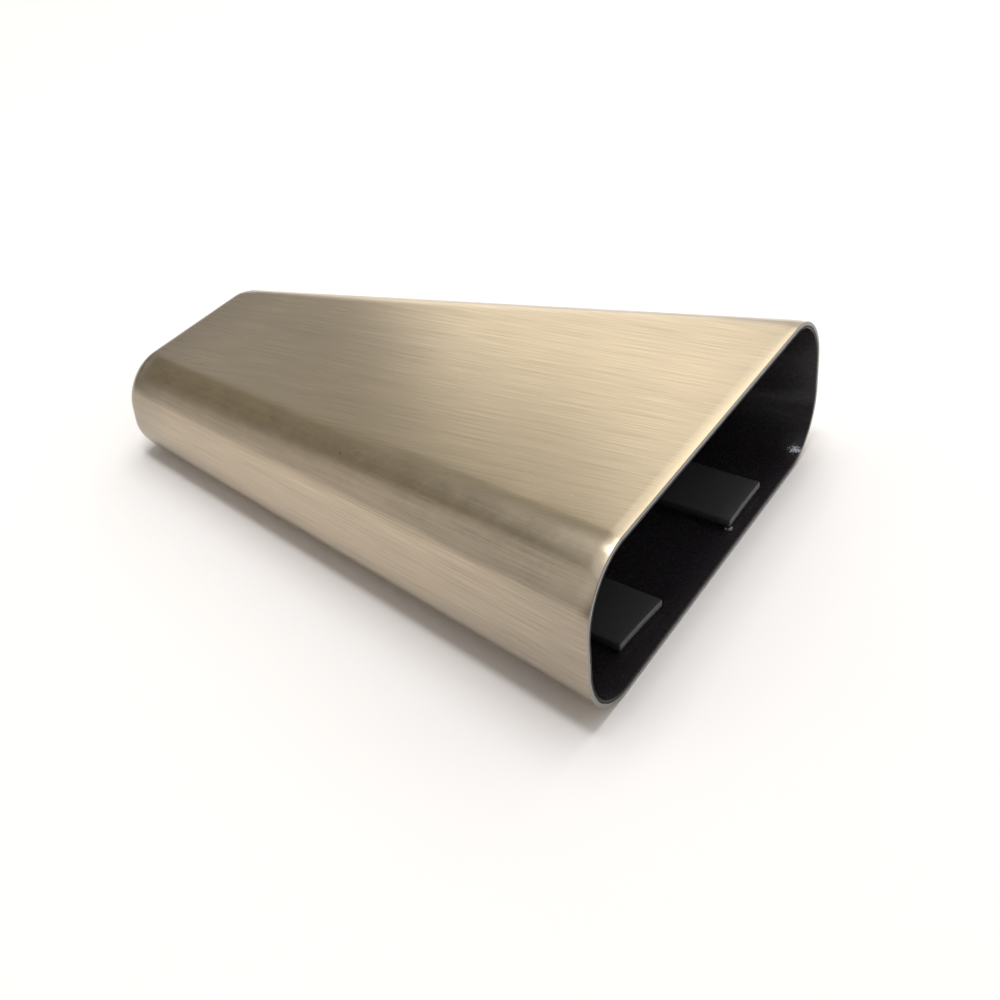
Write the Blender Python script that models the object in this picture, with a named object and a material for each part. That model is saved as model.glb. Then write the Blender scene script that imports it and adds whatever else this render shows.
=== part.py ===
"""Hand cowbell: two pressed steel half shells, welded edge to edge, with two damping pads inside the mouth.

Metres, +Z up. The bell lies on its lower broad face. The origin is the middle of its footprint,
+X points out of the open mouth, and +Y is on the right when looking into the mouth.
"""

import math

import bmesh
import bpy
from mathutils import Vector

MM = 0.001

# Bell body, measured over its outside
BELL_LENGTH = 182 * MM
MOUTH_WIDTH = 150 * MM
MOUTH_DEPTH = 50 * MM
MOUTH_CORNER_RADIUS = 20 * MM
CROWN_WIDTH = 66.5 * MM
CROWN_DEPTH = 31.2 * MM
CROWN_CORNER_RADIUS = 13.5 * MM
CROWN_EDGE_RADIUS = 5 * MM
WALL = 2.2 * MM

# Mouth lip: the last stretch of the outside rolls gently inwards, and both edges of the rim are broken
LIP_LENGTH = 4 * MM
LIP_DROP = 0.2 * MM
RIM_EDGE_BREAK = 0.15 * MM

# Welds that fill the V-groove between the two halves, flush inside and outside
WELD_FACE_WIDTH = 2.6 * MM
WELD_ROOT_WIDTH = 0.6 * MM

# Damping pads, each on its own layer of adhesive tape on the lower wall
PAD_WIDTH = 22 * MM
PAD_LENGTH = 30 * MM
PAD_THICKNESS = 2.4 * MM
PAD_EDGE_BREAK = 0.3 * MM
TAPE_THICKNESS = 0.5 * MM
TAPE_MARGIN = 0.4 * MM
LEFT_PAD_SETBACK = 6.1 * MM
LEFT_PAD_FLAT_INSET = 9.4 * MM
LEFT_PAD_SKEW = math.radians(-4.3)
RIGHT_PAD_SETBACK = 3.5 * MM
RIGHT_PAD_FLAT_INSET = 16 * MM
RIGHT_PAD_SKEW = math.radians(0)

# Clearance between pieces that touch
FIT_GAP = 0.3 * MM

# How finely the round stretches are divided, and the least angle that is shaded as a sharp edge
CORNER_STEPS = 10
CROWN_EDGE_STEPS = 5
LIP_STEPS = 3
SHARP_ANGLE = math.radians(30)

SIDE_TAPER = math.atan((MOUTH_WIDTH - CROWN_WIDTH) / 2 / BELL_LENGTH)
FACE_TAPER = math.atan((MOUTH_DEPTH - CROWN_DEPTH) / 2 / BELL_LENGTH)
CROWN_X = -BELL_LENGTH / 2
MOUTH_X = BELL_LENGTH / 2
GROOVE_FACE_HEIGHT = WELD_FACE_WIDTH / 2 + FIT_GAP
GROOVE_ROOT_HEIGHT = WELD_ROOT_WIDTH / 2 + FIT_GAP


def clear_scene():
    for item in list(bpy.data.objects):
        bpy.data.objects.remove(item, do_unlink=True)


def make_material(name, colour, roughness, metallic):
    material = bpy.data.materials.new(name)
    material.use_nodes = True
    shader = material.node_tree.nodes["Principled BSDF"]
    shader.inputs["Base Color"].default_value = (*colour, 1)
    shader.inputs["Roughness"].default_value = roughness
    shader.inputs["Metallic"].default_value = metallic
    return material


def make_empty(name, parent=None):
    empty = bpy.data.objects.new(name, None)
    empty.parent = parent
    bpy.context.collection.objects.link(empty)
    return empty


def make_object(name, mesh, material, parent):
    piece = bpy.data.objects.new(name, mesh)
    if not mesh.materials:
        mesh.materials.append(material)
    piece.parent = parent
    bpy.context.collection.objects.link(piece)
    return piece


def finish_mesh(name, shape):
    """Turns a bmesh into a mesh with its faces pointing out, smooth where it is round."""
    bmesh.ops.recalc_face_normals(shape, faces=shape.faces)
    mesh = bpy.data.meshes.new(name)
    shape.to_mesh(mesh)
    shape.free()
    mesh.shade_smooth()
    mesh.set_sharp_from_angle(angle=SHARP_ANGLE)
    return mesh


class Section:
    """One cross-section of the bell: a rounded rectangle, moved in by one inset at its sides and one at its faces."""

    def __init__(self, share, place, inset):
        self.width = CROWN_WIDTH + (MOUTH_WIDTH - CROWN_WIDTH) * share
        self.depth = CROWN_DEPTH + (MOUTH_DEPTH - CROWN_DEPTH) * share
        radius = CROWN_CORNER_RADIUS + (MOUTH_CORNER_RADIUS - CROWN_CORNER_RADIUS) * share
        self.radius = min(radius, self.depth / 2 - GROOVE_FACE_HEIGHT - FIT_GAP)
        self.side_x, self.face_x = place
        self.side_inset, self.face_inset = inset

    def corner_point(self, angle):
        """A point of the right upper corner, from 0 at the side to a right angle at the broad face."""
        across = math.cos(angle)
        up = math.sin(angle)
        x = self.side_x * across**2 + self.face_x * up**2
        y = self.width / 2 - self.radius + (self.radius - self.side_inset) * across
        z = self.depth / 2 - self.radius + (self.radius - self.face_inset) * up
        return Vector((x, y, z))

    def seam_point(self, height):
        """The point of the right side at this height above the middle plane."""
        return Vector((self.side_x, self.width / 2 - self.side_inset, height))

    def upper_half(self, seam_height):
        """Points from the right seam, over the upper broad face, to the left seam."""
        turns = [math.pi / 2 * step / CORNER_STEPS for step in range(CORNER_STEPS + 1)]
        right = [self.seam_point(seam_height)] + [self.corner_point(turn) for turn in turns]
        left = [Vector((point.x, -point.y, point.z)) for point in reversed(right)]
        return right + left


def crown_edge_section(step, edge_radius):
    """A section in the round edge between the crown's end and the tapered walls.

    The round has CROWN_EDGE_RADIUS on the outside. The inside has the same centre and a smaller edge_radius.
    """
    place = []
    inset = []
    for taper in (SIDE_TAPER, FACE_TAPER):
        turn = (math.pi / 2 - taper) * step / CROWN_EDGE_STEPS
        tangent_length = CROWN_EDGE_RADIUS * math.tan((math.pi / 2 - taper) / 2)
        place.append(CROWN_X + CROWN_EDGE_RADIUS - edge_radius * math.cos(turn))
        inset.append(tangent_length - edge_radius * math.sin(turn))
    return Section(0, place, inset)


def wall_section(x, inset):
    share = (x - CROWN_X) / BELL_LENGTH
    return Section(share, (x, x), (inset / math.cos(SIDE_TAPER), inset / math.cos(FACE_TAPER)))


def shell_stations():
    """Pairs of an outer and an inner section, from the crown's end to the mouth.

    Also gives the index of the pair where the side welds start, one clearance past the end of the crown weld.
    """
    inner_radius = max(CROWN_EDGE_RADIUS - WALL, FIT_GAP)
    pairs = []
    for step in range(CROWN_EDGE_STEPS + 1):
        outer = crown_edge_section(step, CROWN_EDGE_RADIUS)
        inner = crown_edge_section(step, inner_radius)
        pairs.append((outer, inner))
    wall_start = max(pairs[-1][1].side_x, pairs[-1][1].face_x) + FIT_GAP
    for x in (wall_start, wall_start + FIT_GAP):
        pairs.append((wall_section(x, 0), wall_section(x, WALL)))
    side_start = len(pairs) - 1
    for step in range(LIP_STEPS + 1):
        share = step / LIP_STEPS
        x = MOUTH_X - LIP_LENGTH + (LIP_LENGTH - RIM_EDGE_BREAK) * share
        pairs.append((wall_section(x, LIP_DROP * share**2), wall_section(x, WALL)))
    outer_rim = wall_section(MOUTH_X, LIP_DROP + RIM_EDGE_BREAK)
    inner_rim = wall_section(MOUTH_X, WALL - RIM_EDGE_BREAK)
    pairs.append((outer_rim, inner_rim))
    return pairs, side_start


def bridge(shape, first, second):
    """Fills the strip between two rows of vertices."""
    for index in range(len(first) - 1):
        shape.faces.new((first[index], first[index + 1], second[index + 1], second[index]))


def half_shell_mesh(stations):
    shape = bmesh.new()
    outer = []
    inner = []
    for outer_section, inner_section in stations:
        outer.append([shape.verts.new(point) for point in outer_section.upper_half(GROOVE_FACE_HEIGHT)])
        inner.append([shape.verts.new(point) for point in inner_section.upper_half(GROOVE_ROOT_HEIGHT)])
    for rows in (outer, inner):
        for first, second in zip(rows, rows[1:]):
            bridge(shape, first, second)
        shape.faces.new(rows[0])
    bridge(shape, outer[-1], inner[-1])
    for end in (0, -1):
        bridge(shape, [row[end] for row in outer], [row[end] for row in inner])
    shape.faces.new((outer[0][0], outer[0][-1], inner[0][-1], inner[0][0]))
    return finish_mesh("half_shell", shape)


def weld_mesh(name, sections):
    """A wedge along the groove, through pairs of an outer and an inner point in the middle plane."""
    shape = bmesh.new()
    face_half = Vector((0, 0, WELD_FACE_WIDTH / 2))
    root_half = Vector((0, 0, WELD_ROOT_WIDTH / 2))
    rings = []
    for outer, inner in sections:
        corners = (outer + face_half, inner + root_half, inner - root_half, outer - face_half)
        rings.append([shape.verts.new(corner) for corner in corners])
    for first, second in zip(rings, rings[1:]):
        bridge(shape, first + first[:1], second + second[:1])
    shape.faces.new(rings[0])
    shape.faces.new(rings[-1])
    return finish_mesh(name, shape)


def mirrored(pairs):
    """The same points on the other side of the bell."""
    turned = []
    for pair in pairs:
        turned.append(tuple(Vector((point.x, -point.y, point.z)) for point in pair))
    return turned


def add_shells_and_welds(bell):
    stations, side_start = shell_stations()
    half = half_shell_mesh(stations)
    brass = make_material("antique_brass", (0.52, 0.46, 0.35), 0.35, 1.0)
    upper = make_object("upper_shell", half, brass, bell)
    lower = make_object("lower_shell", half, brass, bell)
    lower.rotation_euler.x = math.pi

    seam = [(outer.seam_point(0), inner.seam_point(0)) for outer, inner in stations]
    side_run = seam[side_start:]
    crown_run = mirrored(reversed(seam[:side_start])) + seam[:side_start]
    runs = {"left_seam_weld": mirrored(side_run), "right_seam_weld": side_run, "crown_seam_weld": crown_run}
    for name, pairs in runs.items():
        finish = make_material(name + "_brass", (0.5, 0.44, 0.33), 0.4, 1.0)
        make_object(name, weld_mesh(name, pairs), finish, bell)
    return upper, lower


def slab_mesh(name, size, edge_break):
    """A flat slab centred on its origin, with its edges broken."""
    shape = bmesh.new()
    bmesh.ops.create_cube(shape, size=1)
    bmesh.ops.scale(shape, vec=size, verts=shape.verts)
    if edge_break:
        bmesh.ops.bevel(shape, geom=shape.edges, offset=edge_break, segments=1, affect="EDGES")
    return finish_mesh(name, shape)


def add_pad(side, direction, setback, flat_inset, skew, lower_wall):
    """A tape layer and a pad. Their frame sits in the middle of the pad's front edge, on the lower wall."""
    flat_half_width = MOUTH_WIDTH / 2 - MOUTH_CORNER_RADIUS
    front = make_empty(side + "_pad_front", lower_wall)
    front.location = (-setback, direction * (flat_half_width - flat_inset - PAD_WIDTH / 2), 0)
    front.rotation_euler.z = skew

    tape_size = (PAD_LENGTH - 2 * TAPE_MARGIN, PAD_WIDTH - 2 * TAPE_MARGIN, TAPE_THICKNESS)
    tape_finish = make_material(side + "_tape_adhesive", (0.1, 0.1, 0.1), 0.6, 0.0)
    tape_name = side + "_pad_tape"
    tape = make_object(tape_name, slab_mesh(tape_name, tape_size, 0), tape_finish, front)
    tape.location = (-PAD_LENGTH / 2, 0, FIT_GAP + TAPE_THICKNESS / 2)

    pad_size = (PAD_LENGTH, PAD_WIDTH, PAD_THICKNESS)
    pad_finish = make_material(side + "_pad_rubber", (0.03, 0.03, 0.033), 0.75, 0.0)
    pad_name = side + "_damper_pad"
    pad = make_object(pad_name, slab_mesh(pad_name, pad_size, PAD_EDGE_BREAK), pad_finish, front)
    pad.location = (-PAD_LENGTH / 2, 0, FIT_GAP + TAPE_THICKNESS + FIT_GAP + PAD_THICKNESS / 2)


def rest_on_floor(bell, shells):
    """Turns the bell onto its lower broad face and puts the middle of its footprint at the origin."""
    bell.rotation_euler.y = -FACE_TAPER
    bpy.context.view_layer.update()
    corners = [shell.matrix_world @ vertex.co for shell in shells for vertex in shell.data.vertices]
    middles = []
    for axis in range(2):
        values = [corner[axis] for corner in corners]
        middles.append((min(values) + max(values)) / 2)
    lowest = min(corner.z for corner in corners)
    bell.location -= Vector((middles[0], middles[1], lowest))


def build():
    clear_scene()
    bell = make_empty("bell_axis")
    shells = add_shells_and_welds(bell)

    lower_wall = make_empty("lower_wall", bell)
    lower_wall.location = (MOUTH_X, 0, WALL / math.cos(FACE_TAPER) - MOUTH_DEPTH / 2)
    lower_wall.rotation_euler.y = FACE_TAPER
    add_pad("left", -1, LEFT_PAD_SETBACK, LEFT_PAD_FLAT_INSET, LEFT_PAD_SKEW, lower_wall)
    add_pad("right", 1, RIGHT_PAD_SETBACK, RIGHT_PAD_FLAT_INSET, RIGHT_PAD_SKEW, lower_wall)

    rest_on_floor(bell, shells)
    bpy.context.view_layer.update()


build()
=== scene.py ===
"""Looks of the hand cowbell.

Brushed brass plating, black paint inside, a bare rim, damping pads and their tape.

Metres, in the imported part's frame: the bell lies on its lower broad face, +X points out of the mouth
and +Y is on the right when looking into the mouth. Each piece here stands for one node of the part.
"""

import math

import bmesh
import bpy
from mathutils import Matrix, Vector, noise


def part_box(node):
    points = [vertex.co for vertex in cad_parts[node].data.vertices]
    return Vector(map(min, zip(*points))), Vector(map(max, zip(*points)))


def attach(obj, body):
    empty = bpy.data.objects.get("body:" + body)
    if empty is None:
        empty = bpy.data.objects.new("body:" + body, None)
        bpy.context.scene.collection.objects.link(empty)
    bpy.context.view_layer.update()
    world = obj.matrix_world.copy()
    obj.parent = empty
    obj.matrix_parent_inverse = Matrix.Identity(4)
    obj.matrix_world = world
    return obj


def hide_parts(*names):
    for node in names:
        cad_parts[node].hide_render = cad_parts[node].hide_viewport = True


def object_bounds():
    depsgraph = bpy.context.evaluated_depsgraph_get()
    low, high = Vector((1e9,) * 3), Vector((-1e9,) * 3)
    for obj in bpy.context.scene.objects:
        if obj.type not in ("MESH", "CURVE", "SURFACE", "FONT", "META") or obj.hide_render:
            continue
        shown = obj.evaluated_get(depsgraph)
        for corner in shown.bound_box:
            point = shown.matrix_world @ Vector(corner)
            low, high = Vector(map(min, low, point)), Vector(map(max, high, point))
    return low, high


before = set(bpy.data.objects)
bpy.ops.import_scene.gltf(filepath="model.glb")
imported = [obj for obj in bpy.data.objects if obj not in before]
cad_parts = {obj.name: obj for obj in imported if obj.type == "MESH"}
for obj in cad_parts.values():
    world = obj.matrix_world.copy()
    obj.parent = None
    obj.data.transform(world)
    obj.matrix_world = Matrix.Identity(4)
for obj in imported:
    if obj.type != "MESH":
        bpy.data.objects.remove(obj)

cad_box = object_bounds()

MM = 0.001

# Bell body, as in the part
BELL_LENGTH = 182 * MM
MOUTH_WIDTH = 150 * MM
MOUTH_DEPTH = 50 * MM
MOUTH_CORNER_RADIUS = 20 * MM
CROWN_WIDTH = 66.5 * MM
CROWN_DEPTH = 31.2 * MM
CROWN_CORNER_RADIUS = 13.5 * MM
CROWN_EDGE_RADIUS = 5 * MM
WALL = 2.2 * MM
LIP_LENGTH = 4 * MM
RIM_EDGE_BREAK = 0.15 * MM
WELD_FACE_WIDTH = 2.6 * MM
WELD_ROOT_WIDTH = 0.6 * MM

# How far the lip rolls in at the rim, a little more than in the part
LIP_DROP = 0.3 * MM

# Damping pads. Their places and thicknesses come from the frame
PAD_LENGTH = 30 * MM
PAD_WIDTH = 22 * MM
PAD_EDGE_RADIUS = 0.45 * MM
PAD_CROWN = 0.12 * MM
PAD_BOW = 0.15 * MM
PAD_UNEVENNESS = 0.05 * MM
PAD_SKEWS = {"left": math.radians(-4.3), "right": 0.0}

# Tape under the pads, which fills the clearance that the part leaves above and below it
TAPE_MARGIN = 0.4 * MM
TAPE_EDGE_RADIUS = 0.1 * MM
TAPE_UNEVENNESS = 0.12 * MM
SEAT_GAP = 0.3 * MM

# Corners of the pads and the tape, and the length of the waves in their uneven surface
SLAB_CORNER_RADIUS = 0.6 * MM
SLAB_WAVE = 4 * MM

# Dried glue at the right tape's near front corner: place along and across from it, radius and height
GLUE_BEADS = (
    (0.3 * MM, 0.1 * MM, 0.65 * MM, 0.55 * MM),
    (-0.8 * MM, -0.25 * MM, 0.4 * MM, 0.35 * MM),
    (0.4 * MM, 1.0 * MM, 0.4 * MM, 0.35 * MM),
)
BEAD_WAVE = 0.4 * MM
BEAD_UNEVENNESS = 0.25

# How finely the surfaces are divided
CROWN_EDGE_STEPS = 10
LENGTH_STEPS = 44
LIP_STEPS = 10
CORNER_STEPS = 28
FACE_STEPS = 36
SIDE_STEPS = 2
RIM_STEPS = 4
SLAB_CORNER_STEPS = 4
SLAB_SIDE_STEPS = 14
SLAB_EDGE_STEPS = 4
SLAB_TOP_STEPS = 7
BEAD_STEPS = 4
BEAD_SIDES = 12

# A slab's width over the inset of the innermost ring on its top
SLAB_TOP_RATIO = 2.4

# Edges sharper than this are shaded as edges
SHARP_ANGLE = math.radians(35)

# Material slots of the metal pieces
PLATED = 0
BARE = 1
PAINTED = 2

# Material slot of the glue on the tape, after the tape's own
GLUE = 1

# The coordinates that the brushing follows, along the bell and round it
BRUSH_MAP = "brush"

# Colours of the finishes, and of the painted highlights and painted shade on them
BRASS = (0.605, 0.5, 0.365)
BRASS_DARK = (0.355, 0.302, 0.238)
BRASS_RUBBED_AND_SHEEN = (0.66, 0.56, 0.42)
BRASS_PITTED = (0.12, 0.09, 0.06)
PAINT_DARK = (0.0175, 0.0148, 0.0175)
PAINT_PALE = (0.024, 0.0212, 0.0235)
PAINT_DUST = (0.11, 0.10, 0.106)
PAINT_GLINT = (0.62, 0.65, 0.70)
STEEL_DARK = (0.285, 0.275, 0.255)
STEEL_PALE = (0.41, 0.395, 0.365)
STEEL_GROOVE_SHADE = (0.10, 0.095, 0.09)
STEEL_PAINTED = (0.012, 0.011, 0.012)
RUBBER_DARK = (0.019, 0.019, 0.021)
RUBBER_PALE = (0.031, 0.031, 0.033)
RUBBER_GRAIN = (0.05, 0.05, 0.053)
RUBBER_DUST = (0.06, 0.06, 0.063)
RUBBER_LIT_END = (0.2, 0.2, 0.206)
TAPE_DARK = (0.012, 0.012, 0.012)
TAPE_PALE = (0.03, 0.03, 0.03)
GLUE_DARK = (0.16, 0.16, 0.16)
GLUE_PALE = (0.56, 0.55, 0.54)
TABLE_WHITE = (0.95, 0.925, 0.915)

# Layers of the brushing, from hairlines to bands: features to the metre along and across, and detail
BRUSH_LAYERS = ((50, 2400, 0.0), (14, 600, 1.0), (5, 70, 2.0))
BRUSH_WEIGHTS = (0.55, 0.3, 0.3)

# Features to the metre in the rest of the finishes and in the painted highlight on the paint
MOTTLE_SCALE = 500
SMUDGE_SCALE = 60
FLECK_SCALE = 160
SCRATCH_SCALE = 190
SCRATCH_WAVE_SCALE = 90
SCRATCH_PATCH_SCALE = 80
PIT_SCALE = 120
PEEL_SCALE = 700
DUST_SCALE = 650
DUST_PATCH_SCALE = 60
PAINT_CLOUD_SCALE = 45
GLINT_SPECK_SCALE = 1700
GRIT_SCALE = 1500
RIM_RAGGED_SCALE = 400
RUBBER_GRAIN_SCALE = 1800
RUBBER_CLOUD_SCALE = 120
TAPE_GRAIN_SCALE = 700
GLUE_CLOUD_SCALE = 1500

# Where the brass changes: painted shade along from the crown and on the sides out from the bell's middle,
# and a painted highlight on the roundings back from the mouth
CROWN_SHADE_LENGTH = 20 * MM
SIDE_MIDDLE = 35 * MM
MOUTH_SHEEN_LENGTH = 18 * MM

# How upright a normal is where the broad faces begin, and where the sides end
FACE_UPRIGHT = (0.93, 0.99)
SIDE_UPRIGHT = (0.35, 0.85)

# How much of a wave bends a scratch
SCRATCH_BEND = 0.005

# Across the rim's cut edge, from its outside, with a line of painted shade where a groove would be
RIM_PAINT_EDGE = 1.05 * MM
RIM_PAINT_FADE = 0.1 * MM
RIM_RAGGEDNESS = 0.2 * MM
RIM_GROOVE_SHADE = 0.5 * MM
RIM_GROOVE_SHADE_REACH = 0.2 * MM

# The painted highlight at the rim, shaped as a chip in the paint, and the dust on the pads back from the
# mouth
GLINT_PLACE = (90 * MM, 62 * MM, 3.8 * MM)
GLINT_REACH = (2.4 * MM, 1.9 * MM, 1.9 * MM)
PAD_DUST_START = 25 * MM
PAD_DUST_END = 3 * MM

# Camera. Its lens and sensor are in millimetres
CAMERA_PLACE = (0.21528, -0.315996, 0.274001)
CAMERA_AZIMUTH = math.radians(31.505)
CAMERA_ELEVATION = math.radians(36.434)
CAMERA_ROLL = math.radians(-1.65)
CAMERA_LENS = 55.535
CAMERA_SENSOR = 36

# Studio: a round table inside a ring of cards, in metres, and the brightness of the white world
CARD_DISTANCE = 1.2
CARD_STEPS = 16
TABLE_GAP = 0.01
TABLE_SIDES = 96
WORLD_LEVEL = 0.7

# Grey cards for the brass to reflect: first and last azimuth, lowest and highest elevation, and shade
CARDS = {
    "front_low_card": ((240, 330), (0, 18), (0.24, 0.235, 0.23)),
    "front_card": ((240, 330), (18, 64), (0.40, 0.395, 0.385)),
    "front_left_card": ((203, 240), (0, 50), (0.72, 0.715, 0.71)),
    "right_flag": ((330, 385), (0, 34), (0.30, 0.30, 0.30)),
    "low_left_card": ((136.5, 203), (0, 16), (0.46, 0.45, 0.43)),
    "left_flag": ((150, 203), (16, 50), (0.30, 0.283, 0.23)),
    "crown_card": ((136.5, 150), (16, 29), (0.50, 0.505, 0.515)),
    "rear_left_card": ((131, 136.5), (0, 29), (0.42, 0.42, 0.41)),
    "rear_left_flag": ((121, 150), (29, 50), (0.40, 0.385, 0.32)),
}

# Lamps over the table, which light it and aren't reflected, and the glow that is reflected in their place
WHITE = (1, 1, 1)
WARM = (1, 0.94, 0.77)
OVERHEAD_PLACE = Vector((-0.10, 0.18, 1.35))
OVERHEAD_SIZE = (0.7, 0.95)
OVERHEAD_LEVEL = 3.4
GLOW_LEVEL = 1.4
GLOW_DROP = Vector((0, 0, 0.01))
KEY_PLACE = Vector((0.0, -0.22, 1.35))
KEY_SIZE = (0.3, 0.22)
KEY_LEVEL = 18.8

# Lamps behind the bell: azimuth, elevation, distance, size, level, colour, and if they light the table
REAR_LAMPS = {
    "rear_box": (119.2, 20, 1.6, (0.52, 1.04), 0.98, WARM, True),
    "lip_box": (93.5, 46, 1.6, (0.67, 0.857), 1.1, WARM, True),
    "glint_box": (125, 68, 1.6, (0.8, 0.28), 2.4, WHITE, False),
    "streak_box": (108, 59, 1.55, (0.34, 0.3), 3.4, WARM, False),
}

SIDE_TAPER = math.atan((MOUTH_WIDTH - CROWN_WIDTH) / 2 / BELL_LENGTH)
FACE_TAPER = math.atan((MOUTH_DEPTH - CROWN_DEPTH) / 2 / BELL_LENGTH)
CROWN_X = -BELL_LENGTH / 2
MOUTH_X = BELL_LENGTH / 2
CROWN_WELD_STATIONS = CROWN_EDGE_STEPS + 2


def share_steps(count):
    return [step / count for step in range(count + 1)]


class Section:
    """One cross-section of the bell: a rounded rectangle.

    Its sides and its broad faces each have a place along the bell and an inset.
    """

    def __init__(self, share, place, inset):
        self.width = CROWN_WIDTH + (MOUTH_WIDTH - CROWN_WIDTH) * share
        self.depth = CROWN_DEPTH + (MOUTH_DEPTH - CROWN_DEPTH) * share
        self.radius = CROWN_CORNER_RADIUS + (MOUTH_CORNER_RADIUS - CROWN_CORNER_RADIUS) * share
        self.side_x, self.face_x = place
        self.side_inset, self.face_inset = inset

    def side_point(self, height):
        return Vector((self.side_x, self.width / 2 - self.side_inset, height))

    def corner_point(self, angle):
        """A point of the right upper corner, from 0 at the side to a right angle at the broad face."""
        across = math.cos(angle)
        up = math.sin(angle)
        x = self.side_x * across**2 + self.face_x * up**2
        y = self.width / 2 - self.radius + (self.radius - self.side_inset) * across
        z = self.depth / 2 - self.radius + (self.radius - self.face_inset) * up
        return Vector((x, y, z))

    def upper_half(self, seam_height):
        """Points from the right seam, over the upper broad face, to the left seam."""
        side_top = self.depth / 2 - self.radius
        rises = [seam_height + (side_top - seam_height) * share for share in share_steps(SIDE_STEPS)]
        turns = [math.pi / 2 * share for share in share_steps(CORNER_STEPS)]
        right = [self.side_point(rise) for rise in rises[:-1]]
        right += [self.corner_point(turn) for turn in turns]
        left = mirrored(reversed(right))
        broad = [right[-1].lerp(left[0], share) for share in share_steps(FACE_STEPS)[1:-1]]
        return right + broad + left


def mirrored(points):
    """The same points on the other side of the bell."""
    return [Vector((point.x, -point.y, point.z)) for point in points]


def crown_edge_section(step, edge_radius):
    """A section in the round edge between the crown's end and the tapered walls."""
    place = []
    inset = []
    for taper in (SIDE_TAPER, FACE_TAPER):
        turn = (math.pi / 2 - taper) * step / CROWN_EDGE_STEPS
        tangent_length = CROWN_EDGE_RADIUS * math.tan((math.pi / 2 - taper) / 2)
        place.append(CROWN_X + CROWN_EDGE_RADIUS - edge_radius * math.cos(turn))
        inset.append(tangent_length - edge_radius * math.sin(turn))
    return Section(0, place, inset)


def wall_section(x, inset):
    share = (x - CROWN_X) / BELL_LENGTH
    return Section(share, (x, x), (inset / math.cos(SIDE_TAPER), inset / math.cos(FACE_TAPER)))


def shell_stations():
    """Pairs of an outer and an inner section, from the crown's end to the start of the rim."""
    pairs = []
    for step in range(CROWN_EDGE_STEPS + 1):
        outer = crown_edge_section(step, CROWN_EDGE_RADIUS)
        inner = crown_edge_section(step, CROWN_EDGE_RADIUS - WALL)
        pairs.append((outer, inner))
    wall_start = CROWN_X + CROWN_EDGE_RADIUS
    lip_start = MOUTH_X - LIP_LENGTH
    for share in share_steps(LENGTH_STEPS)[:-1]:
        x = wall_start + (lip_start - wall_start) * share
        pairs.append((wall_section(x, 0), wall_section(x, WALL)))
    for share in share_steps(LIP_STEPS):
        x = lip_start + (LIP_LENGTH - RIM_EDGE_BREAK) * share
        pairs.append((wall_section(x, LIP_DROP * share**2), wall_section(x, WALL)))
    return pairs


def rim_stations():
    """Pairs of a section and the height of its seam, across the rim's cut edge from the outside."""
    outside = LIP_DROP + RIM_EDGE_BREAK
    inside = WALL - RIM_EDGE_BREAK
    pairs = []
    for share in share_steps(RIM_STEPS):
        section = wall_section(MOUTH_X, outside + (inside - outside) * share)
        seam_height = WELD_FACE_WIDTH / 2 + (WELD_ROOT_WIDTH - WELD_FACE_WIDTH) / 2 * share
        pairs.append((section, seam_height))
    return pairs


def bell_to_part():
    """Turns the bell's own frame onto its lower broad face and centres it in the part's box."""
    level = Matrix.Rotation(-FACE_TAPER, 4, "Y")
    low, high = cad_box
    tangent_length = CROWN_EDGE_RADIUS * math.tan((math.pi / 2 - FACE_TAPER) / 2)
    rim_inset = wall_section(MOUTH_X, LIP_DROP + RIM_EDGE_BREAK).face_inset
    crown_end = level @ Vector((CROWN_X, 0, CROWN_DEPTH / 2 - tangent_length))
    mouth_end = level @ Vector((MOUTH_X, 0, rim_inset - MOUTH_DEPTH / 2))
    lower_face = level @ Vector((CROWN_X, 0, -CROWN_DEPTH / 2))
    shift_x = (low.x + high.x - crown_end.x - mouth_end.x) / 2
    return Matrix.Translation((shift_x, 0, low.z - lower_face.z)) @ level


class Builder:
    """Collects vertices, faces, brush coordinates and material slots for one piece."""

    def __init__(self, name):
        self.name = name
        self.shape = bmesh.new()
        self.brush = self.shape.loops.layers.uv.new(BRUSH_MAP)

    def row(self, points):
        return [self.shape.verts.new(point) for point in points]

    def face(self, corners, slot=0, places=None):
        face = self.shape.faces.new(corners)
        face.material_index = slot
        for loop, place in zip(face.loops, places or []):
            loop[self.brush].uv = place

    def strip(self, first, second, slot=0, first_places=None, second_places=None):
        """Faces between two rows, each with its row of brush coordinates."""
        for here in range(len(first) - 1):
            ends = slice(here, here + 2)
            places = None
            if first_places:
                places = first_places[ends] + second_places[ends][::-1]
            self.face([*first[ends], *second[ends][::-1]], slot, places)

    def finish(self, place, materials):
        bmesh.ops.recalc_face_normals(self.shape, faces=self.shape.faces)
        mesh = bpy.data.meshes.new(self.name)
        self.shape.to_mesh(mesh)
        self.shape.free()
        mesh.transform(place)
        mesh.shade_smooth()
        mesh.set_sharp_from_angle(angle=SHARP_ANGLE)
        for material in materials:
            mesh.materials.append(material)
        piece = bpy.data.objects.new(self.name, mesh)
        bpy.context.scene.collection.objects.link(piece)
        return piece


def join_part(piece, node):
    """Makes a piece stand for its node and move with the part."""
    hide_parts(node)
    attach(piece, "root")


def way_round():
    """The distance from the first seam of each point of a half section, halfway along the bell."""
    middle = Section(0.5, (0, 0), (0, 0)).upper_half(WELD_FACE_WIDTH / 2)
    ways = [0.0]
    for first, second in zip(middle, middle[1:]):
        ways.append(ways[-1] + (second - first).length)
    return ways


def brush_row(distance, start):
    """Brush coordinates of one row: a distance along the bell, and the way round it from start."""
    return [(distance, start - way) for way in way_round()]


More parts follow.
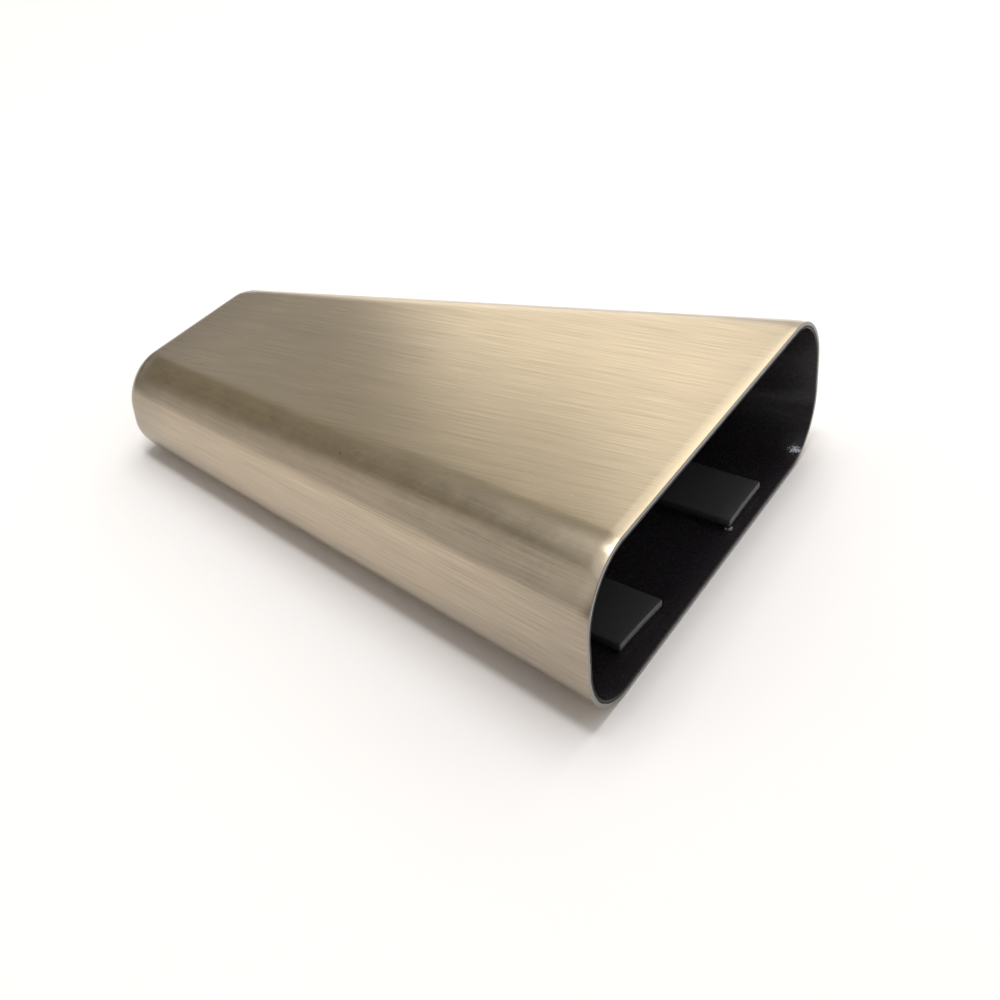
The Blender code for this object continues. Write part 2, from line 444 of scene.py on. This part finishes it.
def half_shell(name, start, place, materials):
    """One half of the bell, out to its welds. start is the brush coordinate at its first seam."""
    builder = Builder(name)
    outer = []
    inner = []
    for outer_section, inner_section in shell_stations():
        outer.append(builder.row(outer_section.upper_half(WELD_FACE_WIDTH / 2)))
        inner.append(builder.row(inner_section.upper_half(WELD_ROOT_WIDTH / 2)))
    rim = [builder.row(section.upper_half(seam_height)) for section, seam_height in rim_stations()]

    middle = len(outer[0]) // 2
    for rows, slot in ((outer, PLATED), (inner, PAINTED)):
        for first, second in zip(rows, rows[1:]):
            places = [brush_row(row[middle].co.x, start) for row in (first, second)]
            builder.strip(first, second, slot, *places)
        builder.face(rows[0], slot, [(vertex.co.y, vertex.co.z) for vertex in rows[0]])
    edge = [outer[-1], *rim, inner[-1]]
    outside = outer[-1][middle].co
    for first, second in zip(edge, edge[1:]):
        slot = PAINTED if second is inner[-1] else BARE
        distances = [(row[middle].co - outside).length for row in (first, second)]
        builder.strip(first, second, slot, *[brush_row(distance, start) for distance in distances])
    for end in (0, -1):
        builder.strip([row[end] for row in outer], [row[end] for row in inner])
        builder.face([row[end] for row in edge])
    builder.face((outer[0][0], outer[0][-1], inner[0][-1], inner[0][0]))
    return builder.finish(place, materials)


def weld_rings(builder, pairs):
    """Four vertices round the weld at each pair of an outer and an inner point in the middle plane."""
    face_half = Vector((0, 0, WELD_FACE_WIDTH / 2))
    root_half = Vector((0, 0, WELD_ROOT_WIDTH / 2))
    rings = []
    for outer, inner in pairs:
        corners = (outer + face_half, outer - face_half, inner - root_half, inner + root_half)
        rings.append(builder.row(corners))
    return rings


def weld_run(builder, rings, start):
    """The faces along a weld: plated outside, painted inside, and the two that meet the shells.

    The brushing runs along the bell, and straight across where the weld crosses the crown's flat end.
    """
    for first, second in zip(rings, rings[1:]):
        if first[0].co.x == second[0].co.x:
            places = [[(vertex.co.y, vertex.co.z) for vertex in ring[:2]] for ring in (first, second)]
        else:
            ends = (first[0].co.x, second[0].co.x)
            places = [[(far, start), (far, start - WELD_FACE_WIDTH)] for far in ends]
        builder.strip(first[:2], second[:2], PLATED, *places)
        builder.strip(first[1:3], second[1:3], PLATED)
        builder.strip(first[2:], second[2:], PAINTED)
        builder.strip((first[3], first[0]), (second[3], second[0]), PLATED)


def seam_pairs():
    return [(outer.side_point(0), inner.side_point(0)) for outer, inner in shell_stations()]


def side_weld(name, side, start, place, materials):
    """The weld along one side, from the crown weld to the rim. side is 1 for right and -1 for left."""
    builder = Builder(name)
    pairs = seam_pairs()[CROWN_WELD_STATIONS - 1:]
    if side < 0:
        pairs = [mirrored(pair) for pair in pairs]
    rings = weld_rings(builder, pairs)
    weld_run(builder, rings, start)
    builder.face(rings[0])
    edge = [rings[-1][:2]]
    for section, height in rim_stations():
        point = section.side_point(0)
        edge.append(builder.row([(point.x, side * point.y, height), (point.x, side * point.y, -height)]))
    edge.append([rings[-1][3], rings[-1][2]])
    for first, second in zip(edge, edge[1:]):
        slot = PAINTED if second is edge[-1] else BARE
        places = [[((row[0].co - edge[0][0].co).length, start)] * 2 for row in (first, second)]
        builder.strip(first, second, slot, *places)
    for end in (0, 1):
        builder.face([row[end] for row in edge])
    return builder.finish(place, materials)


def crown_weld(name, start, place, materials):
    """The weld across the crown's end and round its two corners."""
    builder = Builder(name)
    half = seam_pairs()[:CROWN_WELD_STATIONS]
    rings = weld_rings(builder, [mirrored(pair) for pair in reversed(half)] + half)
    weld_run(builder, rings, start)
    builder.face(rings[0])
    builder.face(rings[-1])
    return builder.finish(place, materials)


def slab_ring(length, width, inset, bow):
    """Points round a slab, with rounded corners and sides that draw in by bow between them."""
    radius = max(SLAB_CORNER_RADIUS - inset, SLAB_CORNER_RADIUS / 4)
    reach = Vector((length / 2 - inset - radius, width / 2 - inset - radius, 0))
    ring = []
    for quarter in range(4):
        turned = Matrix.Rotation(math.pi / 2 * quarter, 3, "Z")
        if quarter % 2:
            corner = Vector((reach.y, reach.x, 0))
        else:
            corner = reach.copy()
        for share in share_steps(SLAB_CORNER_STEPS):
            turn = math.pi / 2 * share
            ring.append(turned @ (corner + radius * Vector((math.cos(turn), math.sin(turn), 0))))
        for share in share_steps(SLAB_SIDE_STEPS)[1:-1]:
            along = corner.x * (1 - 2 * share)
            ring.append(turned @ Vector((along, corner.y + radius - 4 * bow * share * (1 - share), 0)))
    return ring


def slab_profile(thickness, edge, crown, reach):
    """Pairs of an inset and a height, from the slab's underside, up its side and over its crowned top."""
    pairs = []
    for share in share_steps(SLAB_EDGE_STEPS):
        turn = math.pi / 2 * share
        pairs.append((edge * (1 - math.sin(turn)), edge * (1 - math.cos(turn))))
    for share in share_steps(SLAB_EDGE_STEPS):
        turn = math.pi / 2 * share
        pairs.append((edge * (1 - math.cos(turn)), thickness - crown - edge * (1 - math.sin(turn))))
    for share in share_steps(SLAB_TOP_STEPS)[1:]:
        pairs.append((edge + (reach - edge) * share, thickness - crown * (1 - share) ** 2))
    return pairs


def slab(name, size, edge, crown, bow, unevenness, place, materials, beads=()):
    """A soft slab with rounded edges that stands on its origin, with an uneven surface and glue beads."""
    builder = Builder(name)
    rings = []
    for inset, height in slab_profile(size.z, edge, crown, size.y / SLAB_TOP_RATIO):
        points = []
        for point in slab_ring(size.x, size.y, inset, bow):
            point.z = height
            moved = noise.noise_vector(place @ point / SLAB_WAVE) * unevenness
            moved.z *= height / size.z
            points.append(point + moved)
        rings.append(builder.row(points))
    for first, second in zip(rings, rings[1:]):
        builder.strip(first + first[:1], second + second[:1])
    builder.face(rings[0])
    builder.face(rings[-1])
    for along, across, radius, height in beads:
        foot = Vector((size.x / 2 + along, across - size.y / 2, 0))
        glue_bead(builder, foot, radius, height)
    return builder.finish(place, materials)


def glue_bead(builder, foot, radius, height):
    """A small dome of dried glue."""
    rings = []
    for share in share_steps(BEAD_STEPS)[:-1]:
        rise = math.pi / 2 * share
        points = []
        for turn in share_steps(BEAD_SIDES)[:-1]:
            angle = 2 * math.pi * turn
            out = Vector((math.cos(angle), math.sin(angle), 0)) * radius * math.cos(rise)
            lump = 1 + BEAD_UNEVENNESS * noise.noise((foot + out) / BEAD_WAVE)
            points.append(foot + out * lump + Vector((0, 0, height * math.sin(rise))))
        rings.append(builder.row(points))
    for first, second in zip(rings, rings[1:]):
        builder.strip(first + first[:1], second + second[:1], GLUE)
    builder.face(rings[0], GLUE)
    builder.face(rings[-1], GLUE)


def add(tree, kind, inputs=None, **settings):
    """Adds a shader node. An input takes a value, or the socket that feeds it."""
    made = tree.nodes.new(kind)
    for name, value in settings.items():
        setattr(made, name, value)
    for name, value in (inputs or {}).items():
        socket = made.inputs[name]
        if isinstance(value, bpy.types.NodeSocket):
            tree.links.new(value, socket)
        else:
            socket.default_value = value
    return made


def new_material(name, constants=None):
    """A material with constants on its shader, its node tree, and the shader."""
    material = bpy.data.materials.new(name)
    material.use_nodes = True
    shader = material.node_tree.nodes["Principled BSDF"]
    for socket, value in (constants or {}).items():
        shader.inputs[socket].default_value = value
    return material, material.node_tree, shader


def matt(name, colour, roughness):
    """A plain material with no gloss, for the table and the cards."""
    constants = {"Base Color": (*colour, 1), "Roughness": roughness, "Specular IOR Level": 0.0}
    return new_material(name, constants)[0]


def feed(tree, shader, links):
    for name, socket in links.items():
        tree.links.new(socket, shader.inputs[name])


def spread(tree, value, low, high, start=0.0, end=1.0):
    """Maps a value from the range start to end onto the range low to high."""
    inputs = {"Value": value, "From Min": start, "From Max": end, "To Min": low, "To Max": high}
    return add(tree, "ShaderNodeMapRange", inputs).outputs["Result"]


def maths(tree, operation, first, second=0.0, third=0.0):
    inputs = {0: first, 1: second, 2: third}
    return add(tree, "ShaderNodeMath", inputs, operation=operation).outputs["Value"]


def part_of(tree, vector, axis):
    return add(tree, "ShaderNodeSeparateXYZ", {"Vector": vector}).outputs[axis]


def tint(tree, factor, first, second):
    """Mixes two colours, each a tuple or a socket."""
    inputs = {"Factor_Float": factor}
    for name, colour in (("A_Color", first), ("B_Color", second)):
        inputs[name] = colour if isinstance(colour, bpy.types.NodeSocket) else (*colour, 1)
    mixer = add(tree, "ShaderNodeMix", data_type="RGBA")
    for socket in mixer.inputs:
        value = inputs.get(socket.identifier)
        if isinstance(value, bpy.types.NodeSocket):
            tree.links.new(value, socket)
        elif value is not None:
            socket.default_value = value
    return next(socket for socket in mixer.outputs if socket.identifier == "Result_Color")


def streaks(tree, place, along, across, detail):
    """Noise drawn out along the brushing, with so many features to the metre along and across it."""
    drawn = add(tree, "ShaderNodeMapping", {"Vector": place, "Scale": (along, across, 1)})
    inputs = {"Vector": drawn.outputs["Vector"], "Scale": 1.0, "Detail": detail, "Roughness": 0.6}
    return add(tree, "ShaderNodeTexNoise", inputs, noise_dimensions="2D").outputs["Fac"]


def object_place(tree):
    return add(tree, "ShaderNodeTexCoord").outputs["Object"]


def grain_noise(tree, place, scale, detail=3.0):
    inputs = {"Vector": place, "Scale": scale, "Detail": detail}
    return add(tree, "ShaderNodeTexNoise", inputs).outputs["Fac"]


def from_middle(tree, value, middle):
    """How far a value is from a middle one, on either side."""
    return maths(tree, "ABSOLUTE", maths(tree, "SUBTRACT", value, middle))


def chosen_cells(tree, cells, low, high):
    """0 in most cells, rising to 1 in the few whose own colour lies between low and high, or above."""
    return spread(tree, part_of(tree, cells.outputs["Color"], "X"), 0.0, 1.0, low, high)


def bumped(tree, height, strength, distance):
    bump = add(tree, "ShaderNodeBump", {"Height": height, "Strength": strength, "Distance": distance})
    return bump.outputs["Normal"]


def brushed_brass():
    """Brass plating brushed along the bell, with tarnish, wear, painted shade and painted highlights, and
    a few pits.
    """
    material, tree, shader = new_material("brushed_brass", {"Metallic": 1.0, "Anisotropic": 0.3})
    along_sides = add(tree, "ShaderNodeUVMap", uv_map=BRUSH_MAP).outputs["UV"]
    over_faces = object_place(tree)
    along = part_of(tree, along_sides, "X")
    normal = add(tree, "ShaderNodeNewGeometry").outputs["Normal"]
    upright = maths(tree, "ABSOLUTE", part_of(tree, normal, "Z"))
    on_face = spread(tree, upright, 0.0, 1.0, *FACE_UPRIGHT)
    on_side = spread(tree, upright, 1.0, 0.0, *SIDE_UPRIGHT)
    on_rounding = maths(tree, "SUBTRACT", maths(tree, "SUBTRACT", 1.0, on_face), on_side)

    layers = brush_layers(tree, along_sides, over_faces, on_face)
    patina_and_shade = brass_patina_and_shade(tree, layers, along, over_faces, on_side, on_rounding)
    brass = tint(tree, patina_and_shade, BRASS, BRASS_DARK)
    # Painted highlight: the brass is paler along the mouth's edge, except on the sides, where it is also
    # smoother
    lip_sheen = spread(tree, along, 0.0, 1.0, MOUTH_X - LIP_LENGTH, MOUTH_X - LIP_LENGTH / 4)
    lip_sheen = maths(tree, "MULTIPLY", lip_sheen, maths(tree, "SUBTRACT", 1.0, on_side))
    # Paler where painted highlights lie, and where the roundings show wear
    for sheen_and_wear in (lip_sheen, *rounding_wear_and_sheen(tree, along, over_faces, on_rounding)):
        brass = tint(tree, sheen_and_wear, brass, BRASS_RUBBED_AND_SHEEN)
    brass = tint(tree, pit_dots(tree, over_faces), brass, BRASS_PITTED)

    hairlines, lines = layers[:2]
    smudges = grain_noise(tree, over_faces, SMUDGE_SCALE)
    roughness = maths(tree, "ADD", spread(tree, hairlines, 0.21, 0.27), spread(tree, smudges, -0.02, 0.04))
    roughness = maths(tree, "MULTIPLY_ADD", lip_sheen, -0.05, roughness)
    tangent = add(tree, "ShaderNodeTangent", direction_type="UV_MAP", uv_map=BRUSH_MAP)
    feed(tree, shader, {
        "Base Color": brass,
        "Roughness": roughness,
        "Normal": bumped(tree, lines, 0.02, 0.05 * MM),
        "Tangent": tangent.outputs["Tangent"],
    })
    return material


def brush_layers(tree, along_sides, over_faces, on_face):
    """The brushing's layers: straight on the broad faces, and along the taper on the sides."""
    layers = []
    for features in BRUSH_LAYERS:
        side = streaks(tree, along_sides, *features)
        face = streaks(tree, over_faces, *features)
        mixer = add(tree, "ShaderNodeMix", {"Factor": on_face, "A": side, "B": face})
        layers.append(mixer.outputs["Result"])
    return layers


def brass_patina_and_shade(tree, layers, along, place, on_side, on_rounding):
    """How dark the brass is: in the brushing and mottled on the roundings, with painted shade toward the
    mouth, at the crown's end and on the sides, most toward both ends.
    """
    streaked = 0.0
    for layer, weight in zip(layers, BRUSH_WEIGHTS):
        streaked = maths(tree, "MULTIPLY_ADD", layer, weight, streaked)
    patina_and_shade = spread(tree, streaked, 0.08, 0.55, 0.325, 0.825)
    # Painted shade: darker toward the mouth, at the crown's end, and on the sides, more toward both ends
    patina_and_shade = maths(tree, "ADD", patina_and_shade, spread(tree, along, 0.0, 0.2, 0.0, MOUTH_X))
    crown_shade = spread(tree, part_of(tree, place, "X"), 0.4, 0.0, CROWN_X, CROWN_X + CROWN_SHADE_LENGTH)
    patina_and_shade = maths(tree, "ADD", patina_and_shade, crown_shade)
    side_shade = spread(tree, maths(tree, "ABSOLUTE", along), 0.17, 0.42, SIDE_MIDDLE, MOUTH_X)
    patina_and_shade = maths(tree, "MULTIPLY_ADD", on_side, side_shade, patina_and_shade)
    mottling = spread(tree, grain_noise(tree, place, MOTTLE_SCALE), -0.14, 0.14, 0.3, 0.7)
    return maths(tree, "MULTIPLY_ADD", on_rounding, mottling, patina_and_shade)


def rounding_wear_and_sheen(tree, along, place, on_rounding):
    """Where the roundings are brighter: a painted highlight near the mouth, and wear in a hazy pattern and
    in scratches.
    """
    # Painted highlight: paler on the roundings toward the mouth
    mouth_sheen = spread(tree, along, 0.0, 0.6, MOUTH_X - MOUTH_SHEEN_LENGTH, MOUTH_X - LIP_LENGTH)
    haze = spread(tree, grain_noise(tree, place, FLECK_SCALE, 4.0), 0.0, 0.4, 0.45, 0.75)
    scratches = scratch_lines(tree, place, on_rounding)
    return [maths(tree, "MULTIPLY", wear, on_rounding) for wear in (mouth_sheen, haze, scratches)]


def scratch_lines(tree, place, on_rounding):
    """Fine curved scratches: the borders of wavy cells, kept here and there."""
    wave_inputs = {"Vector": place, "Scale": SCRATCH_WAVE_SCALE, "Detail": 1.0}
    waves = add(tree, "ShaderNodeTexNoise", wave_inputs).outputs["Color"]
    bend_inputs = {"Fac": SCRATCH_BEND, "Color1": place, "Color2": waves}
    bent = add(tree, "ShaderNodeMixRGB", bend_inputs).outputs["Color"]
    cell_inputs = {"Vector": bent, "Scale": SCRATCH_SCALE}
    cells = add(tree, "ShaderNodeTexVoronoi", cell_inputs, feature="DISTANCE_TO_EDGE")
    near_border = spread(tree, cells.outputs["Distance"], 1.0, 0.0, 0.015, 0.05)
    patches = grain_noise(tree, place, SCRATCH_PATCH_SCALE, 1.0)
    wanted = maths(tree, "MULTIPLY_ADD", on_rounding, 0.12, patches)
    return maths(tree, "MULTIPLY", near_border, spread(tree, wanted, 0.0, 0.35, 0.62, 0.8))


def pit_dots(tree, place):
    """Small dark dots in a few of many cells."""
    cells = add(tree, "ShaderNodeTexVoronoi", {"Vector": place, "Scale": PIT_SCALE})
    close = spread(tree, cells.outputs["Distance"], 1.0, 0.0, 0.02, 0.05)
    return maths(tree, "MULTIPLY", close, chosen_cells(tree, cells, 0.9, 0.92))


def black_paint():
    """Satin black paint with a fine orange peel, specks of dust and a painted highlight at the rim, shaped
    as a chip.
    """
    material, tree, shader = new_material("black_paint", {"Specular IOR Level": 0.4})
    place = object_place(tree)
    peel = grain_noise(tree, place, PEEL_SCALE, 2.0)
    cells = add(tree, "ShaderNodeTexVoronoi", {"Vector": place, "Scale": DUST_SCALE})
    close = spread(tree, cells.outputs["Distance"], 1.0, 0.0, 0.1, 0.25)
    specks = maths(tree, "MULTIPLY", close, chosen_cells(tree, cells, 0.8, 1.0))
    dusty = spread(tree, grain_noise(tree, place, DUST_PATCH_SCALE), 0.2, 1.0, 0.4, 0.65)
    film = tint(tree, grain_noise(tree, place, PAINT_CLOUD_SCALE), PAINT_DARK, PAINT_PALE)
    film = tint(tree, maths(tree, "MULTIPLY", specks, dusty), film, PAINT_DUST)
    feed(tree, shader, {
        # The pale patch by the rim is a painted highlight, shaped as a chip
        "Base Color": tint(tree, painted_glint(tree, place), film, PAINT_GLINT),
        "Roughness": spread(tree, peel, 0.22, 0.34),
        "Normal": bumped(tree, peel, 0.25, 0.1 * MM),
    })
    return material


def painted_glint(tree, place):
    """A painted highlight: a ragged, speckled pale patch by the rim, shaped as a chip in the paint."""
    apart = add(tree, "ShaderNodeVectorMath", {0: place, 1: GLINT_PLACE}, operation="SUBTRACT")
    share_inputs = {0: apart.outputs["Vector"], 1: GLINT_REACH}
    shares = add(tree, "ShaderNodeVectorMath", share_inputs, operation="DIVIDE")
    far = add(tree, "ShaderNodeVectorMath", {0: shares.outputs["Vector"]}, operation="LENGTH")
    specks = grain_noise(tree, place, GLINT_SPECK_SCALE, 4.0)
    ragged = maths(tree, "MULTIPLY_ADD", specks, 3.2, far.outputs["Value"])
    return spread(tree, ragged, 1.0, 0.0, 1.85, 2.35)


def bare_edge():
    """The sheet's cut edge: grey steel, with the inside's black paint over its inner part, and a thin dark
    line of painted shade across the steel.
    """
    material, tree, shader = new_material("bare_edge", {"Specular IOR Level": 0.15})
    place = object_place(tree)
    grit = grain_noise(tree, place, GRIT_SCALE)
    across = part_of(tree, add(tree, "ShaderNodeUVMap", uv_map=BRUSH_MAP).outputs["UV"], "X")
    raggedness = spread(tree, grain_noise(tree, place, RIM_RAGGED_SCALE), -RIM_RAGGEDNESS, RIM_RAGGEDNESS)
    ragged = maths(tree, "ADD", across, raggedness)
    paint_start = RIM_PAINT_EDGE - RIM_PAINT_FADE
    steel = spread(tree, ragged, 1.0, 0.0, paint_start, RIM_PAINT_EDGE + RIM_PAINT_FADE)
    # Painted shade: a dark line across the steel, as in a groove
    groove_shade = spread(tree, from_middle(tree, across, RIM_GROOVE_SHADE), 0.45, 0.0, 0.0, RIM_GROOVE_SHADE_REACH)
    metal = tint(tree, grit, STEEL_DARK, STEEL_PALE)
    metal = tint(tree, groove_shade, metal, STEEL_GROOVE_SHADE)
    feed(tree, shader, {
        "Base Color": tint(tree, steel, STEEL_PAINTED, metal),
        "Metallic": steel,
        "Roughness": spread(tree, grit, 0.35, 0.55),
    })
    return material


def pad_rubber():
    """Matt dark grey rubber with a fine grain, dusty toward the mouth, and cut ends painted paler as
    painted light.
    """
    material, tree, shader = new_material("pad_rubber")
    place = object_place(tree)
    grain = grain_noise(tree, place, RUBBER_GRAIN_SCALE)
    normal = add(tree, "ShaderNodeNewGeometry").outputs["Normal"]
    # Painted light: the cut ends, facing along the bell, are painted paler
    lit_end = spread(tree, maths(tree, "ABSOLUTE", part_of(tree, normal, "X")), 0.0, 1.0, 0.4, 0.9)
    along = part_of(tree, place, "X")
    dusty = spread(tree, along, 0.0, 0.8, MOUTH_X - PAD_DUST_START, MOUTH_X - PAD_DUST_END)
    rubber = tint(tree, grain_noise(tree, place, RUBBER_CLOUD_SCALE), RUBBER_DARK, RUBBER_PALE)
    rubber = tint(tree, dusty, rubber, RUBBER_DUST)
    rubber = tint(tree, lit_end, rubber, RUBBER_LIT_END)
    feed(tree, shader, {
        "Base Color": tint(tree, spread(tree, grain, 0.0, 0.5), rubber, RUBBER_GRAIN),
        "Roughness": spread(tree, grain, 0.65, 0.85),
        "Normal": bumped(tree, grain, 0.3, 0.1 * MM),
    })
    return material


def tape_film():
    """Black double-sided tape."""
    material, tree, shader = new_material("tape_film")
    grain = grain_noise(tree, object_place(tree), TAPE_GRAIN_SCALE)
    feed(tree, shader, {
        "Base Color": tint(tree, grain, TAPE_DARK, TAPE_PALE),
        "Roughness": spread(tree, grain, 0.4, 0.6),
    })
    return material


def dried_glue():
    """Off-white dried glue, a little cloudy."""
    material, tree, shader = new_material("dried_glue")
    clouds = grain_noise(tree, object_place(tree), GLUE_CLOUD_SCALE)
    feed(tree, shader, {
        "Base Color": tint(tree, clouds, GLUE_DARK, GLUE_PALE),
        "Roughness": spread(tree, clouds, 0.3, 0.6),
        "Normal": bumped(tree, clouds, 0.3, 0.1 * MM),
    })
    return material


def add_bell():
    place = bell_to_part()
    turned = place @ Matrix.Rotation(math.pi, 4, "X")
    metals = [brushed_brass(), bare_edge(), black_paint()]
    reach = way_round()[-1]
    upper_start = reach / 2
    left_start = upper_start - reach
    lower_start = left_start - WELD_FACE_WIDTH
    right_start = upper_start + WELD_FACE_WIDTH
    join_part(half_shell("upper_sheet", upper_start, place, metals), "upper_shell")
    join_part(half_shell("lower_sheet", lower_start, turned, metals), "lower_shell")
    join_part(side_weld("left_bead", -1, left_start, place, metals), "left_seam_weld")
    join_part(side_weld("right_bead", 1, right_start, place, metals), "right_seam_weld")
    join_part(crown_weld("crown_bead", left_start, place, metals), "crown_seam_weld")


def slab_place(node, skew):
    """The middle of a node's underside, turned by its skew, and the node's height."""
    low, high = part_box(node)
    middle = (low + high) / 2
    return Matrix.Translation((middle.x, middle.y, low.z)) @ Matrix.Rotation(skew, 4, "Z"), high.z - low.z


def add_pads():
    rubber = [pad_rubber()]
    film = [tape_film(), dried_glue()]
    for side, skew in PAD_SKEWS.items():
        place, thickness = slab_place(side + "_damper_pad", skew)
        size = Vector((PAD_LENGTH, PAD_WIDTH, thickness))
        form = (PAD_EDGE_RADIUS, PAD_CROWN, PAD_BOW, PAD_UNEVENNESS)
        pad = slab(side + "_rubber", size, *form, place, rubber)
        join_part(pad, side + "_damper_pad")

        place, thickness = slab_place(side + "_pad_tape", skew)
        place = Matrix.Translation((0, 0, -SEAT_GAP)) @ place
        length = PAD_LENGTH - 2 * TAPE_MARGIN
        width = PAD_WIDTH - 2 * TAPE_MARGIN
        size = Vector((length, width, thickness + 2 * SEAT_GAP))
        form = (TAPE_EDGE_RADIUS, 0, 0, TAPE_UNEVENNESS)
        beads = GLUE_BEADS if side == "right" else ()
        tape = slab(side + "_tape", size, *form, place, film, beads)
        join_part(tape, side + "_pad_tape")


def add_camera():
    """The camera stands where the photograph was taken from."""
    data = bpy.data.cameras.new("camera")
    data.sensor_width = CAMERA_SENSOR
    data.lens = CAMERA_LENS
    camera = bpy.data.objects.new("camera", data)
    back = Vector((
        math.sin(CAMERA_AZIMUTH) * math.cos(CAMERA_ELEVATION),
        -math.cos(CAMERA_AZIMUTH) * math.cos(CAMERA_ELEVATION),
        math.sin(CAMERA_ELEVATION),
    ))
    aim = (-back).to_track_quat("-Z", "Y").to_matrix().to_4x4()
    rolled = aim @ Matrix.Rotation(CAMERA_ROLL, 4, "Z")
    camera.matrix_world = Matrix.Translation(CAMERA_PLACE) @ rolled
    bpy.context.scene.collection.objects.link(camera)
    bpy.context.scene.camera = camera


def add_floor():
    shape = bmesh.new()
    radius = CARD_DISTANCE - TABLE_GAP
    bmesh.ops.create_circle(shape, cap_ends=True, radius=radius, segments=TABLE_SIDES)
    mesh = bpy.data.meshes.new("floor")
    shape.to_mesh(mesh)
    shape.free()
    mesh.materials.append(matt("white_table", TABLE_WHITE, 0.9))
    floor = bpy.data.objects.new("floor", mesh)
    bpy.context.scene.collection.objects.link(floor)


def toward(azimuth, elevation):
    """The direction at an azimuth from +X and an elevation above the floor, both in degrees."""
    turn = math.radians(azimuth)
    rise = math.radians(elevation)
    return Vector((math.cos(rise) * math.cos(turn), math.cos(rise) * math.sin(turn), math.sin(rise)))


def soft_box(name, place, facing, size, level, colour, lights=True, reflected=True):
    """A lamp panel whose back faces one way. level is its brightness, where 1 is white.

    lights says whether it lights matt surfaces, and reflected whether glossy ones show it.
    """
    data = bpy.data.lights.new(name, "AREA")
    data.shape = "RECTANGLE"
    data.size, data.size_y = size
    data.energy = level * math.pi * data.size * data.size_y
    data.color = colour
    lamp = bpy.data.objects.new(name, data)
    lamp.matrix_world = Matrix.Translation(place) @ facing.to_track_quat("Z", "Y").to_matrix().to_4x4()
    lamp.visible_camera = False
    lamp.visible_diffuse = lights
    lamp.visible_glossy = reflected
    bpy.context.scene.collection.objects.link(lamp)


def card(name, azimuths, elevations, shade):
    """A curved card by the table that the bell reflects, kept out of the camera's sight."""
    builder = Builder(name)
    first, last = azimuths
    rows = []
    for elevation in elevations:
        height = Vector((0, 0, CARD_DISTANCE * math.tan(math.radians(elevation))))
        turns = [first + (last - first) * share for share in share_steps(CARD_STEPS)]
        rows.append(builder.row([toward(turn, 0) * CARD_DISTANCE + height for turn in turns]))
    builder.strip(*rows)
    paper = builder.finish(Matrix.Identity(4), [matt(name, shade, 1.0)])
    paper.visible_camera = False


def add_light():
    world = bpy.data.worlds.new("studio")
    world.use_nodes = True
    background = world.node_tree.nodes["Background"]
    background.inputs["Color"].default_value = (*WHITE, 1)
    background.inputs["Strength"].default_value = WORLD_LEVEL
    bpy.context.scene.world = world
    for name, (azimuths, elevations, shade) in CARDS.items():
        card(name, azimuths, elevations, shade)
    up = Vector((0, 0, 1))
    glow_place = OVERHEAD_PLACE - GLOW_DROP
    soft_box("overhead_box", OVERHEAD_PLACE, up, OVERHEAD_SIZE, OVERHEAD_LEVEL, WHITE, reflected=False)
    soft_box("overhead_glow", glow_place, up, OVERHEAD_SIZE, GLOW_LEVEL, WHITE, lights=False)
    soft_box("key_box", KEY_PLACE, up, KEY_SIZE, KEY_LEVEL, WHITE, reflected=False)
    for name, (azimuth, elevation, distance, *panel) in REAR_LAMPS.items():
        facing = toward(azimuth, elevation)
        soft_box(name, facing * distance, facing, *panel)


add_camera()
add_bell()
add_pads()
add_floor()
add_light()

bpy.context.scene.view_settings.view_transform = "Standard"
